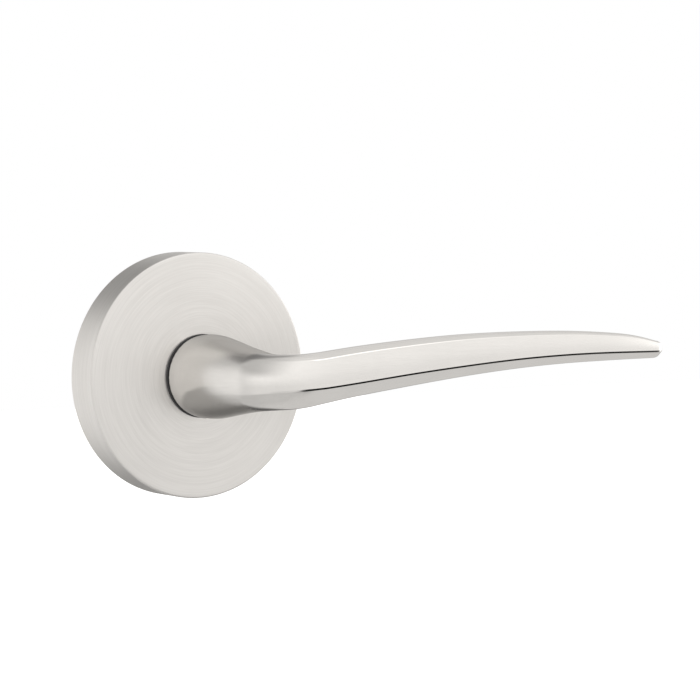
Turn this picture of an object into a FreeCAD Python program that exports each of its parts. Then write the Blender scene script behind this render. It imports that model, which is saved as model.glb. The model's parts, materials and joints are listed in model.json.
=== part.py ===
"""Lever handle lockset, one door side: round rose, sprung bearing and return lever.

Millimetres. Z is up, Y points into the door, X runs along the lever's blade. The origin is where
the spindle's axis crosses the door face. "Out" in names and comments is the distance from the
door face towards the room, so a point that is 10 out has y = -10.
"""
import FreeCAD, Part
import math
import os
import re
import Sketcher

Vector = FreeCAD.Vector

# Driving dimensions: alias, value, meaning.
DIMENSIONS = (
    ("rose_radius", 33.35, "outside radius of the round cover"),
    ("rose_depth", 10.8, "edge of the cover's face above the door face"),
    ("cover_front_wall", 1.5, "thickness of the cover's face"),
    ("cover_side_wall", 1.6, "thickness of the cover's skirt"),
    ("cover_edge_round", 0.45, "rounding of the cover's front edge"),
    ("crown_height", 1.7, "rise of the cover's face from its edge to the neck"),
    ("pry_width", 7, "width of the pry notch at the cover's foot"),
    ("pry_height", 1.4, "depth of the pry notch from the door face"),
    ("fit_gap", 0.1, "clearance between parts that are pushed together"),
    ("running_gap", 0.04, "clearance between parts that turn on each other"),
    ("snap_out", 4.8, "snap ring's centre above the door face"),
    ("snap_wire_radius", 0.6, "half of the snap ring's wire"),
    ("snap_sweep", 338, "angle of the snap ring's arc, the rest is its gap"),
    ("base_wall", 1.2, "front wall of the mounting base"),
    ("base_rim", 2.2, "rim of the mounting base"),
    ("plate_thickness", 1.6, "steel backing plate"),
    ("rib_width", 1.4, "ribs of the mounting base"),
    ("rib_turn", 22.5, "angle of the first rib from the X axis"),
    ("chamber_radius", 13.4, "spring chamber around the driver"),
    ("chamber_wall", 1.6, "wall of the spring chamber"),
    ("swing_radius", 19.2, "sector in which the driver's ear swings"),
    ("swing_half_angle", 52, "half of that sector, from straight up"),
    ("post_spacing", 38.1, "centre distance of the mounting posts"),
    ("post_radius", 4, "mounting post"),
    ("post_length", 16, "post behind the door face"),
    ("post_stub_radius", 3, "post's stub in the base"),
    ("post_stub_height", 5.5, "post's stub above the door face"),
    ("post_thread_radius", 2.1, "tapped bore of a post"),
    ("post_thread_depth", 14, "depth of that bore"),
    ("post_boss_radius", 5.5, "boss round a post's stub"),
    ("wood_screw_offset", 16.6, "wood screw holes, sideways and up from the axis"),
    ("wood_screw_radius", 2.25, "hole for a wood screw's shank"),
    ("wood_screw_sink_radius", 4.2, "countersink at the front of that hole"),
    ("wood_screw_boss_radius", 5, "boss round that hole"),
    ("plate_screw_offset", 23, "plate screws, up and down from the axis"),
    ("plate_screw_radius", 1.5, "plate screw's shank"),
    ("plate_screw_head_radius", 2.8, "plate screw's countersunk head"),
    ("plate_screw_height", 6.5, "tip of the plate screw above the door face"),
    ("plate_screw_recess", 1.1, "half width of the drive recess"),
    ("plate_boss_radius", 3, "boss round a plate screw"),
    ("collar_radius", 11.35, "flange of the neck bush"),
    ("collar_height", 0.7, "flange of the neck bush above the cover's face"),
    ("journal_radius", 9, "front journal of the lever's hub"),
    ("bush_radius", 10.6, "sleeve of the neck bush"),
    ("drive_radius", 8, "double-D section of the hub"),
    ("drive_flat", 7, "half of the double-D section across its flats"),
    ("drive_gap", 0.03, "clearance of the driver on the double-D"),
    ("tail_radius", 7, "rear journal of the hub"),
    ("tail_end", -4.8, "rear end of the hub"),
    ("clip_groove_radius", 6.6, "bottom of the retaining ring's groove"),
    ("clip_front", -2.9, "front side of that groove"),
    ("clip_back", -3.9, "rear side of that groove"),
    ("clip_outer_radius", 9.3, "outside of the retaining ring"),
    ("clip_opening", 3.2, "half of the retaining ring's opening"),
    ("clip_ear_shift", 1.1, "ears of the retaining ring beside its opening"),
    ("clip_ear_radius", 1.9, "ear of the retaining ring"),
    ("clip_hole_radius", 0.8, "plier hole in an ear"),
    ("rear_bush_radius", 8.6, "sleeve of the rear bush"),
    ("rear_flange_radius", 11, "flange of the rear bush"),
    ("rear_flange", 1.2, "thickness of that flange"),
    ("washer_radius", 10.5, "thrust washer"),
    ("washer_thickness", 0.5, "thrust washer"),
    ("disc_thickness", 0.4, "sheet of the disc spring"),
    ("disc_radius", 10, "outside of the disc spring"),
    ("hub_radius", 9.6, "hub of the driver"),
    ("ear_radius", 18.4, "driver's ear, outside"),
    ("lug_radius", 14.2, "driver's lug, inside"),
    ("ear_half_angle", 7, "half of the ear's angle"),
    ("ear_thickness", 1.3, "ear and lug plate"),
    ("lug_height", 1.95, "lug behind the ear"),
    ("ear_rest_angle", 115, "ear at rest, from the X axis"),
    ("lever_travel", 50, "how far the lever turns"),
    ("pin_circle", 17, "stop pins from the axis"),
    ("pin_radius", 1, "stop pin"),
    ("sleeve_radius", 1.6, "nylon sleeve on a stop pin"),
    ("stop_gap", 0.06, "ear to sleeve at either stop"),
    ("spring_mean_radius", 11.8, "return spring's coil"),
    ("spring_wire_radius", 0.85, "return spring's wire"),
    ("spring_back", 2.55, "rear leg above the door face"),
    ("spring_front", 5.2, "front leg above the door face"),
    ("spring_bend", 1.5, "bend from coil to leg"),
    ("spring_leg_end", 16.4, "end of each leg from the axis"),
    ("spring_fixed_angle", 270, "rear leg, from the X axis"),
    ("socket_half", 4.03, "half of the square socket"),
    ("spindle_half", 4, "half of the square spindle"),
    ("spindle_chamfer", 0.5, "corners of the spindle"),
    ("spindle_back", 45, "spindle behind the door face"),
    ("hub_end", 27, "front end of the hub inside the neck"),
    ("grub_out", 19, "grub screw above the door face"),
    ("grub_radius", 2.5, "grub screw M5"),
    ("grub_end", 10.2, "head end of the grub screw below the axis"),
    ("grub_clear", 12.5, "start of the grub screw's hole below the axis"),
    ("grub_socket", 1.44, "corner radius of its hexagon socket"),
    ("elbow_radius", 10.5, "centreline from neck to blade"),
    ("blade_out", 52.5, "blade's centreline above the door face"),
    ("blade_return", 3.6, "how far the blade's centreline comes back to the door"),
    ("lever_length", 130.2, "spindle axis to the tip"),
    ("nose_length", 2.6, "rounded end of the blade"),
    ("nose_height", 4.7, "tip above the spindle axis"),
    ("ease_height", 0.5, "eased edge along the blade's front crease"),
    ("ease_depth", 0.23, "how far that edge turns in"),
)

# Round sections from the neck's foot through the elbow: distance along the centreline, radius.
ROUND_STATIONS = (
    ("neck_foot", 0, 11.1),
    ("neck_low", 3.5, 11.4),
    ("neck_mid", 9.5, 10.9),
    ("neck_high", 17.5, 9.55),
    ("elbow_start", 28.5, 7.95),
    ("elbow_mid", 37, 7.2),
    ("elbow_end", 45.5, 7),
)

# Blade sections: distance from the axis, bottom, front crease, top, thickness.
BLADE_STATIONS = (
    ("blade_root", -10, -8.75, -2.8, 6, 11.6),
    ("blade_heel", 5, -7.1, -1.55, 7.4, 11.2),
    ("blade_a", 20, -4.8, -0.2, 9, 10.6),
    ("blade_b", 36, -2.75, 1.4, 10.3, 9.8),
    ("blade_c", 55, -0.6, 3, 11.35, 8.8),
    ("blade_d", 75, 1.15, 4.3, 11.65, 7.7),
    ("blade_e", 95, 2.2, 4.95, 11.3, 6.5),
    ("blade_f", 110, 2.5, 5, 10.4, 5.5),
    ("blade_g", 120, 2.6, 4.85, 9.25, 4.7),
    ("blade_h", 127.6, 2.65, 4.7, 7.6, 4),
)

BLADE_SIZES = ("bottom", "crease", "top", "thickness")

# Sketcher's numbers for an arc's centre point and for a sketch's vertical axis.
CENTRE_POINT, VERTICAL_AXIS = 3, -2

doc = FreeCAD.newDocument("LeverHandle")
sheet = doc.addObject("Spreadsheet::Sheet", "Dims")
aliases = []
parts = []


# ------------------------------------------------------------------ spreadsheet

def add_row(alias, number, meaning):
    """Writes one named number on the next row of the sheet."""
    aliases.append(alias)
    row = len(aliases)
    sheet.set("A%d" % row, meaning)
    sheet.set("B%d" % row, str(number))
    sheet.setAlias("B%d" % row, alias)


def fill_sheet():
    """Writes every driving dimension, then the sections of the lever."""
    for alias, number, meaning in DIMENSIONS:
        add_row(alias, number, meaning)
    for name, along, radius in ROUND_STATIONS:
        add_row(name + "_along", along, "round section from the neck's foot")
        add_row(name + "_radius", radius, "its radius")
    for name, along, bottom, crease, top, thickness in BLADE_STATIONS:
        add_row(name + "_along", along, "section of the blade from the axis")
        add_row(name + "_bottom", bottom, "its lowest point")
        add_row(name + "_crease", crease, "its front crease")
        add_row(name + "_top", top, "its highest point")
        add_row(name + "_thickness", thickness, "front to back")
    doc.recompute()


def bound(text):
    """Turns an expression in aliases into one that other objects can read."""
    return re.sub(r"[a-z]\w*_\w+", lambda found: "Dims." + found.group(0), text)


def value(text):
    """Evaluates an expression in aliases."""
    number = sheet.evalExpression(text)
    return float(getattr(number, "Value", number))


# ------------------------------------------------------------------ sketches

def new_body(label):
    """Starts a sub-part. Its label is the name of its node."""
    body = doc.addObject("PartDesign::Body", label)
    body.Label = label
    parts.append(body)
    return body


def new_sketch(body, plane, across="0", up="0", normal="0", turn="0"):
    """Adds a sketch on one of the body's own planes, shifted and turned by expressions."""
    sketch = body.newObject("Sketcher::SketchObject", body.Label + "_sketch")
    for feature in body.Origin.OriginFeatures:
        if feature.Role == plane:
            sketch.AttachmentSupport = [(feature, "")]
    sketch.MapMode = "FlatFace"
    for path, text in (("Base.x", across), ("Base.y", up), ("Base.z", normal), ("Rotation.Angle", turn)):
        if text != "0":
            sketch.setExpression("AttachmentOffset." + path, bound(text))
    return sketch


def constrain(sketch, constraint, text):
    """Adds a constraint and binds its size to an expression."""
    index = sketch.addConstraint(constraint)
    if text != "0":
        sketch.setExpression("Constraints[%d]" % index, bound(text))


def polygon(sketch, corners, crowned=False):
    """Draws a closed outline whose corners are pairs of expressions.

    With crowned, its first side is an arc whose centre lies on the sketch's vertical axis.
    """
    first = sketch.GeometryCount
    places = [Vector(value(x), value(y), 0) for x, y in corners]
    count = len(places)
    for i in range(count):
        side = crown_arc if crowned and i == 0 else Part.LineSegment
        sketch.addGeometry(side(places[i], places[(i + 1) % count]))
    if crowned:
        sketch.addConstraint(Sketcher.Constraint("PointOnObject", first, CENTRE_POINT, VERTICAL_AXIS))
    for i in range(count):
        following = first + (i + 1) % count
        sketch.addConstraint(Sketcher.Constraint("Coincident", first + i, 2, following, 1))
        for kind, place, text in (("DistanceX", places[i].x, corners[i][0]),
                                  ("DistanceY", places[i].y, corners[i][1])):
            constrain(sketch, Sketcher.Constraint(kind, first + i, 1, place), text)


def crown_arc(start, end):
    """Arc from start to end, counter-clockwise about a centre on the sketch's vertical axis."""
    drop = end.y - start.y
    centre = Vector(0, start.y + (end.x ** 2 - start.x ** 2 + drop ** 2) / (2 * drop), 0)
    angles = [math.atan2(place.y - centre.y, place.x) for place in (start, end)]
    whole = Part.Circle(centre, Vector(0, 0, 1), (end - centre).Length)
    return Part.ArcOfCircle(whole, *angles)


def circle(sketch, radius, across="0", up="0"):
    """Draws a circle."""
    centre = Vector(value(across), value(up), 0)
    index = sketch.addGeometry(Part.Circle(centre, Vector(0, 0, 1), value(radius)))
    constrain(sketch, Sketcher.Constraint("Radius", index, value(radius)), radius)
    constrain(sketch, Sketcher.Constraint("DistanceX", index, 3, centre.x), across)
    constrain(sketch, Sketcher.Constraint("DistanceY", index, 3, centre.y), up)


def rectangle(sketch, left, right, low, high):
    """Draws a rectangle between two sides and two levels."""
    polygon(sketch, ((left, low), (right, low), (right, high), (left, high)))


def finish_feature(body, feature):
    """Recomputes and makes sure that the feature changed the body."""
    before = feature.BaseFeature.Shape.Volume if feature.BaseFeature else 0.0
    doc.recompute()
    if abs(feature.Shape.Volume - before) < 1e-6:
        raise RuntimeError("%s changes nothing in %s" % (feature.Name, body.Label))
    return feature


# ------------------------------------------------------------------ features

def turned(body, corners, kind="Revolution", sweep="360", across="0", normal="0", crowned=False):
    """Revolves an outline of (radius, out) corners about the Y axis, or about one parallel to it."""
    sketch = new_sketch(body, "XY_Plane", across=across, normal=normal)
    polygon(sketch, [(radius, "-(%s)" % out) for radius, out in corners], crowned)
    return revolve(body, sketch, kind, sweep)


def revolve(body, sketch, kind="Revolution", sweep="360"):
    """Revolves a sketch about its own vertical axis."""
    feature = body.newObject("PartDesign::" + kind, body.Label + "_" + kind.lower())
    feature.Profile = sketch
    feature.ReferenceAxis = (sketch, ["V_Axis"])
    feature.setExpression("Angle", bound(sweep))
    return finish_feature(body, feature)


def raised(body, draw, start, end, turn="0"):
    """Pads what draw() draws, from one distance out to a larger one."""
    return extruded(body, "Pad", draw, start, "(%s)-(%s)" % (end, start), turn)


def sunk(body, draw, front, back, turn="0"):
    """Pockets what draw() draws, from one distance out back to a smaller one."""
    return extruded(body, "Pocket", draw, front, "(%s)-(%s)" % (front, back), turn)


def extruded(body, kind, draw, out, length, turn):
    """Adds a Pad (away from the door) or a Pocket (towards it) from a plane that is out."""
    sketch = new_sketch(body, "XZ_Plane", normal=out, turn=turn)
    draw(sketch)
    feature = body.newObject("PartDesign::" + kind, body.Label + "_" + kind.lower())
    feature.Profile = sketch
    feature.setExpression("Length", bound(length))
    return finish_feature(body, feature)


def mirrored(body, feature, plane):
    """Mirrors one feature on one of the body's own planes."""
    mirror = body.newObject("PartDesign::Mirrored", body.Label + "_mirrored")
    mirror.Originals = [feature]
    for origin_plane in body.Origin.OriginFeatures:
        if origin_plane.Role == plane:
            mirror.MirrorPlane = (origin_plane, [""])
    body.Tip = mirror
    return finish_feature(body, mirror)


def round_edges(body, kind, size, chosen):
    """Fillets or chamfers the edges of the body's tip that chosen(edge) accepts."""
    tip = body.Tip
    names = ["Edge%d" % (i + 1) for i, edge in enumerate(tip.Shape.Edges) if chosen(edge)]
    feature = body.newObject("PartDesign::" + kind, body.Label + "_" + kind.lower())
    feature.Base = (tip, names)
    size_name = "Radius" if kind == "Fillet" else "Size"
    feature.setExpression(size_name, bound(size))
    body.Tip = feature
    return finish_feature(body, feature)


def is_ring(edge, radius, out):
    """True for a full circle of one radius at one distance out."""
    curve = edge.Curve
    same = hasattr(curve, "Radius") and abs(curve.Radius - value(radius)) < 1e-4
    return same and abs(curve.Center.y + value(out)) < 1e-4


def polar(radius, angle):
    """Expressions of a point at a radius and an angle in degrees."""
    return "(%s)*cos(%s)" % (radius, angle), "(%s)*sin(%s)" % (radius, angle)


# ------------------------------------------------------------------ rose

# Cuts start and end this far past the material.
PAST_FRONT = "+1"
PAST_BACK = "-1"

FACE_FRONT = "rose_depth+crown_height"
COVER_INSIDE = "rose_depth-cover_front_wall"
COVER_BORE = "rose_radius-cover_side_wall"
BASE_RADIUS = COVER_BORE + "-1.5*fit_gap"
BASE_FRONT = COVER_INSIDE + "-fit_gap"
BASE_WALL_BACK = BASE_FRONT + "-base_wall"
BASE_BACK = "plate_thickness-0.5"
SNAP_LOW = "snap_out-snap_wire_radius"
SNAP_HIGH = "snap_out+snap_wire_radius"
SNAP_CENTRE = BASE_RADIUS + "-fit_gap"


def make_rose_cover():
    """Turned cover with a crowned face, a skirt and an inner groove for the snap ring."""
    body = new_body("rose_cover")
    hole = "bush_radius+fit_gap"
    groove = SNAP_CENTRE + "+snap_wire_radius+fit_gap/2"
    turned(body, ((hole, FACE_FRONT), ("rose_radius", "rose_depth"), ("rose_radius", "0"),
                  (COVER_BORE, "0"), (COVER_BORE, SNAP_LOW), (groove, SNAP_LOW), (groove, SNAP_HIGH),
                  (COVER_BORE, SNAP_HIGH), (COVER_BORE, COVER_INSIDE), (hole, COVER_INSIDE)),
           crowned=True)
    notch_top = "-rose_radius+cover_side_wall+pry_height/2"
    sunk(body, lambda sketch: rectangle(sketch, "-pry_width/2", "pry_width/2",
                                        "-rose_radius" + PAST_BACK, notch_top),
         "pry_height", PAST_BACK)
    round_edges(body, "Fillet", "cover_edge_round",
                lambda edge: is_ring(edge, "rose_radius", "rose_depth"))


def make_neck_bush():
    """Black nylon bush: the front bearing of the lever and the ring round its neck."""
    body = new_body("neck_bush")
    bore = "journal_radius+running_gap"
    front = FACE_FRONT + "+collar_height"
    turned(body, ((bore, BASE_WALL_BACK), ("bush_radius", BASE_WALL_BACK), ("bush_radius", FACE_FRONT),
                  ("collar_radius", FACE_FRONT), ("collar_radius", front), (bore, front)))


def make_mounting_base():
    """Zinc casting: front wall and rim, spring chamber, ribs and bosses."""
    body = new_body("mounting_base")
    rim_inside = BASE_RADIUS + "-base_rim"
    groove = SNAP_CENTRE + "-snap_wire_radius-fit_gap/2"
    turned(body, (("bush_radius", BASE_WALL_BACK), (rim_inside, BASE_WALL_BACK), (rim_inside, "0"),
                  (BASE_RADIUS, "0"), (BASE_RADIUS, SNAP_LOW), (groove, SNAP_LOW), (groove, SNAP_HIGH),
                  (BASE_RADIUS, SNAP_HIGH), (BASE_RADIUS, BASE_FRONT), ("bush_radius", BASE_FRONT)))
    inner_end = BASE_WALL_BACK + "+base_wall/2"
    chamber_outside = "chamber_radius+chamber_wall"
    raised(body, lambda sketch: circle(sketch, chamber_outside), "plate_thickness", inner_end)
    swing_outside = "swing_radius+chamber_wall"
    raised(body, lambda sketch: draw_sector(sketch, "chamber_radius", swing_outside,
                                            "swing_half_angle+4"),
           "plate_thickness", inner_end, turn="90")
    for quarter in range(4):
        turn = "rib_turn+%d" % (90 * quarter)
        for side in ("", "+45"):
            raised(body, lambda sketch: rectangle(sketch, "chamber_radius", rim_inside + "+0.5",
                                                  "-rib_width/2", "rib_width/2"),
                   "plate_thickness", inner_end, turn=turn + side)
    for side in (-1, 1):
        across = "%d*post_spacing/2" % side
        raised(body, lambda sketch: circle(sketch, "post_boss_radius", across),
               "plate_thickness", inner_end)
        up = "%d*plate_screw_offset" % side
        raised(body, lambda sketch: circle(sketch, "plate_boss_radius", "0", up),
               "plate_thickness", inner_end)
    for across, up in wood_screw_places():
        raised(body, lambda sketch: circle(sketch, "wood_screw_boss_radius", across, up),
               "plate_thickness", inner_end)
    sunk(body, lambda sketch: circle(sketch, "chamber_radius"), BASE_WALL_BACK, BASE_BACK)
    sunk(body, lambda sketch: circle(sketch, "bush_radius"), BASE_FRONT + PAST_FRONT,
         BASE_WALL_BACK + PAST_BACK)
    sunk(body, lambda sketch: draw_sector(sketch, "chamber_radius-2", "swing_radius", "swing_half_angle"),
         BASE_WALL_BACK, BASE_BACK, turn="90")
    slot = "spring_wire_radius+0.03"
    sunk(body, lambda sketch: rectangle(sketch, "-(%s)" % slot, slot, "-spring_leg_end-1.5",
                                        "-chamber_radius+1"),
         "spring_back+" + slot, BASE_BACK)
    for side in (-1, 1):
        across = "%d*post_spacing/2" % side
        sunk(body, lambda sketch: circle(sketch, "post_stub_radius", across),
             "post_stub_height+0.3", BASE_BACK)
        up = "%d*plate_screw_offset" % side
        sunk(body, lambda sketch: circle(sketch, "plate_screw_radius", "0", up),
             "plate_screw_height+0.4", BASE_BACK)
    for angle in STOP_ANGLES:
        across, up = polar("pin_circle", angle)
        sunk(body, lambda sketch: circle(sketch, "pin_radius", across, up),
             BASE_FRONT + "-0.2", BASE_WALL_BACK + "-0.5")
    for across, up in wood_screw_places():
        sunk(body, lambda sketch: circle(sketch, "wood_screw_radius", across, up),
             BASE_FRONT + PAST_FRONT, BASE_BACK)
    round_edges(body, "Chamfer", "wood_screw_sink_radius-wood_screw_radius",
                lambda edge: is_ring(edge, "wood_screw_radius", BASE_FRONT))


def draw_sector(sketch, inner, outer, half_angle):
    """Draws a sector about the sketch's X axis with chords instead of arcs, outside its radii."""
    steps = 8
    angles = ["(%s)*%d/%d" % (half_angle, 2 * i - steps, steps) for i in range(steps + 1)]
    grown = "(%s)/cos((%s)/%d)" % (outer, half_angle, steps)
    far = [polar(grown, angle) for angle in angles]
    near = [polar(inner, angles[0]), polar(inner, angles[-1])]
    polygon(sketch, far + [near[1], near[0]])


def wood_screw_places():
    """The four wood screw holes, as expressions."""
    return [("%d*wood_screw_offset" % x, "%d*wood_screw_offset" % z) for x in (-1, 1) for z in (-1, 1)]


def make_cover_snap_ring():
    """Open wire ring between the casting and the cover."""
    body = new_body("cover_snap_ring")
    sketch = new_sketch(body, "XY_Plane")
    circle(sketch, "snap_wire_radius", SNAP_CENTRE, "-snap_out")
    revolve(body, sketch, sweep="snap_sweep")


def make_backing_plate():
    """Steel plate that closes the casting and lies on the door."""
    body = new_body("backing_plate")
    radius = BASE_RADIUS + "-base_rim-fit_gap"
    raised(body, lambda sketch: circle(sketch, radius), "0", "plate_thickness")
    sunk(body, draw_plate_holes, "plate_thickness", PAST_BACK)
    for side in (-1, 1):
        up = "%d*plate_screw_offset" % side
        sunk(body, lambda sketch: circle(sketch, "plate_screw_radius", "0", up),
             "plate_thickness", PAST_BACK)
    round_edges(body, "Chamfer", "plate_screw_head_radius-plate_screw_radius",
                lambda edge: is_ring(edge, "plate_screw_radius", "0"))


def draw_plate_holes(sketch):
    """Holes for the rear bush, the posts and the wood screws."""
    circle(sketch, "rear_bush_radius")
    for side in (-1, 1):
        circle(sketch, "post_stub_radius", "%d*post_spacing/2" % side)
    for across, up in wood_screw_places():
        circle(sketch, "wood_screw_radius", across, up)


def make_backing_plate_screws():
    """Two countersunk screws from behind, with a square drive recess."""
    body = new_body("backing_plate_screws")
    recess = "plate_screw_height*0.2"
    cone = "plate_screw_head_radius-plate_screw_radius-0.04"
    screw = turned(body, (("0", "0.02"), ("plate_screw_head_radius-0.06", "0.02"),
                          ("plate_screw_radius", cone), ("plate_screw_radius", "plate_screw_height-0.4"),
                          ("plate_screw_radius-0.4", "plate_screw_height"), ("0", "plate_screw_height")),
                   normal="plate_screw_offset")
    mirrored(body, screw, "XY_Plane")
    for side in (-1, 1):
        middle = "%d*plate_screw_offset" % side
        sunk(body, lambda sketch: rectangle(sketch, "-plate_screw_recess", "plate_screw_recess",
                                            middle + "-plate_screw_recess", middle + "+plate_screw_recess"),
             recess, PAST_BACK)


def make_mounting_posts():
    """Two tapped posts with a stub that is riveted into the base."""
    body = new_body("mounting_posts")
    bore_end = "post_thread_depth-post_length"
    post = turned(body, (("0", bore_end), ("post_thread_radius", bore_end),
                         ("post_thread_radius", "-post_length"), ("post_radius-0.5", "-post_length"),
                         ("post_radius", "-post_length+0.5"), ("post_radius", "0"),
                         ("post_stub_radius", "0"), ("post_stub_radius", "post_stub_height"),
                         ("0", "post_stub_height")), across="post_spacing/2")
    mirrored(body, post, "YZ_Plane")


# ------------------------------------------------------------------ turning parts

DRIVER_BACK = "plate_thickness+0.15"
DRIVER_FRONT = BASE_WALL_BACK + "-fit_gap"
EAR_BACK = DRIVER_FRONT + "-ear_thickness"
STOP_HALF = "ear_half_angle+asin((sleeve_radius+stop_gap)/pin_circle)/1deg"
STOP_ANGLES = ("ear_rest_angle+%s" % STOP_HALF, "ear_rest_angle-lever_travel-(%s)" % STOP_HALF)
LEVER_FOOT = FACE_FRONT + "+collar_height+running_gap"
JOURNAL_BACK = BASE_WALL_BACK + "+fit_gap/2"


def make_spring_driver():
    """Driver on the hub's double-D: an ear that meets the stops and a lug that winds the spring."""
    body = new_body("spring_driver")
    raised(body, lambda sketch: circle(sketch, "hub_radius"), DRIVER_BACK, DRIVER_FRONT)
    raised(body, lambda sketch: draw_wedge(sketch, "drive_radius+0.5"), EAR_BACK, DRIVER_FRONT,
           turn="ear_rest_angle")
    raised(body, lambda sketch: draw_wedge(sketch, "lug_radius"), EAR_BACK + "-lug_height",
           EAR_BACK + "+ear_thickness/2", turn="ear_rest_angle")
    sunk(body, draw_driver_bore, DRIVER_FRONT + PAST_FRONT, DRIVER_BACK + PAST_BACK)


def draw_wedge(sketch, inner):
    """A radial wedge about the sketch's X axis, from a radius to the ear's end."""
    polygon(sketch, [polar(inner, "-ear_half_angle"), polar("ear_radius", "-ear_half_angle"),
                     polar("ear_radius", "ear_half_angle"), polar(inner, "ear_half_angle")])


def draw_driver_bore(sketch):
    """Double-D bore: a circle with two flats, as lines and arcs."""
    radius = "drive_radius+drive_gap"
    flat = "drive_flat+drive_gap"
    half = "asin((%s)/(%s))/1deg" % (flat, radius)
    double_d(sketch, radius, polar(radius, "90+" + half), polar(radius, "90-" + half),
             polar(radius, "270+" + half), polar(radius, "270-" + half))


def double_d(sketch, radius, *corners):
    """Two arcs about the origin joined by two straight flats."""
    places = [Vector(value(x), value(y), 0) for x, y in corners]
    size = value(radius)
    first = sketch.GeometryCount
    for start, end, middle in ((places[0], places[1], Vector(0, size, 0)),
                               (places[2], places[3], Vector(0, -size, 0))):
        sketch.addGeometry(Part.Arc(start, middle, end))
    sketch.addGeometry(Part.LineSegment(places[1], places[2]))
    sketch.addGeometry(Part.LineSegment(places[3], places[0]))
    # Part.Arc becomes a counter-clockwise arc, so its start is the end of the clockwise one.
    upper, lower, right, left = range(first, first + 4)
    for arc in (upper, lower):
        sketch.addConstraint(Sketcher.Constraint("Coincident", arc, 3, -1, 1))
        constrain(sketch, Sketcher.Constraint("Radius", arc, size), radius)
    for one, one_end, other, other_end in ((upper, 1, right, 1), (right, 2, lower, 2),
                                           (lower, 1, left, 1), (left, 2, upper, 2)):
        sketch.addConstraint(Sketcher.Constraint("Coincident", one, one_end, other, other_end))
    sketch.addConstraint(Sketcher.Constraint("Vertical", right))
    sketch.addConstraint(Sketcher.Constraint("Vertical", left))
    constrain(sketch, Sketcher.Constraint("DistanceX", right, 1, places[1].x), corners[1][0])
    constrain(sketch, Sketcher.Constraint("DistanceX", left, 1, places[3].x), corners[3][0])


def make_stop_pins():
    """Two pins pressed into the casting's front wall."""
    body = new_body("stop_pins")
    for angle in STOP_ANGLES:
        across, up = polar("pin_circle", angle)
        raised(body, lambda sketch: circle(sketch, "pin_radius", across, up),
               EAR_BACK + "-0.1", BASE_FRONT + "-0.3")


def make_stop_sleeves():
    """Nylon sleeves that quieten the stops."""
    body = new_body("stop_sleeves")
    for angle in STOP_ANGLES:
        across, up = polar("pin_circle", angle)
        raised(body, lambda sketch: circle(sketch, "sleeve_radius", across, up),
               EAR_BACK, BASE_WALL_BACK)
        sunk(body, lambda sketch: circle(sketch, "pin_radius", across, up),
             BASE_WALL_BACK + PAST_FRONT, EAR_BACK + PAST_BACK)


def make_rear_bush():
    """Bronze bush in the backing plate: the rear bearing of the lever."""
    body = new_body("rear_bush")
    bore = "tail_radius+running_gap"
    turned(body, ((bore, "-rear_flange"), ("rear_flange_radius", "-rear_flange"),
                  ("rear_flange_radius", "0"), ("rear_bush_radius", "0"),
                  ("rear_bush_radius", "plate_thickness"), (bore, "plate_thickness")))


WASHER_FRONT = "-rear_flange-fit_gap/2"
WASHER_BACK = WASHER_FRONT + "-washer_thickness"


def make_thrust_washer():
    """Steel washer behind the rear bush."""
    body = new_body("thrust_washer")
    bore = "tail_radius+0.1"
    turned(body, ((bore, WASHER_BACK), ("washer_radius", WASHER_BACK),
                  ("washer_radius", WASHER_FRONT), (bore, WASHER_FRONT)))


def make_disc_spring():
    """Coned washer that takes up the end play."""
    body = new_body("disc_spring")
    bore = "tail_radius+0.1"
    rim_front = WASHER_BACK + "-0.01"
    bore_back = "clip_front+0.01"
    turned(body, ((bore, bore_back), ("disc_radius", rim_front + "-disc_thickness"),
                  ("disc_radius", rim_front), (bore, bore_back + "+disc_thickness")))


def make_retaining_ring():
    """Open ring in the hub's groove with two ears for pliers."""
    body = new_body("retaining_ring")
    front = "clip_front-0.02"
    back = "clip_back+0.04"
    raised(body, lambda sketch: circle(sketch, "clip_outer_radius"), back, front)
    for side in (-1, 1):
        across = "%d*(clip_opening+clip_ear_shift)" % side
        raised(body, lambda sketch: circle(sketch, "clip_ear_radius", across, "-clip_outer_radius"),
               back, front)
        sunk(body, lambda sketch: circle(sketch, "clip_hole_radius", across, "-clip_outer_radius"),
             front, back + PAST_BACK)
    sunk(body, lambda sketch: circle(sketch, "clip_groove_radius+0.03"), front, back + PAST_BACK)
    sunk(body, lambda sketch: rectangle(sketch, "-clip_opening", "clip_opening",
                                        "-clip_outer_radius-clip_opening",
                                        "-clip_groove_radius+clip_opening"),
         front, back + PAST_BACK)


def make_lever_hub():
    """Turned steel hub: journals, double-D, clip groove and a square socket for the spindle."""
    body = new_body("lever_hub")
    drive_back = "plate_thickness+0.1"
    turned(body, (("0", "tail_end"), ("tail_radius-0.4", "tail_end"), ("tail_radius", "tail_end+0.4"),
                  ("tail_radius", "clip_back"), ("clip_groove_radius", "clip_back"),
                  ("clip_groove_radius", "clip_front"), ("tail_radius", "clip_front"),
                  ("tail_radius", drive_back), ("drive_radius", drive_back),
                  ("drive_radius", JOURNAL_BACK), ("journal_radius", JOURNAL_BACK),
                  ("journal_radius", LEVER_FOOT), ("drive_radius", LEVER_FOOT),
                  ("drive_radius", "hub_end-0.5"), ("drive_radius-0.5", "hub_end"), ("0", "hub_end")))
    for side in (-1, 1):
        near = "%d*drive_flat" % side
        far = "%d*journal_radius" % side
        sunk(body, lambda sketch: rectangle(sketch, near, far, "-drive_radius", "drive_radius"),
             JOURNAL_BACK, drive_back)
    sunk(body, lambda sketch: rectangle(sketch, "-socket_half", "socket_half", "-socket_half",
                                        "socket_half"), "hub_end" + PAST_FRONT, "tail_end" + PAST_BACK)
    grub_hole(body)


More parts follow.
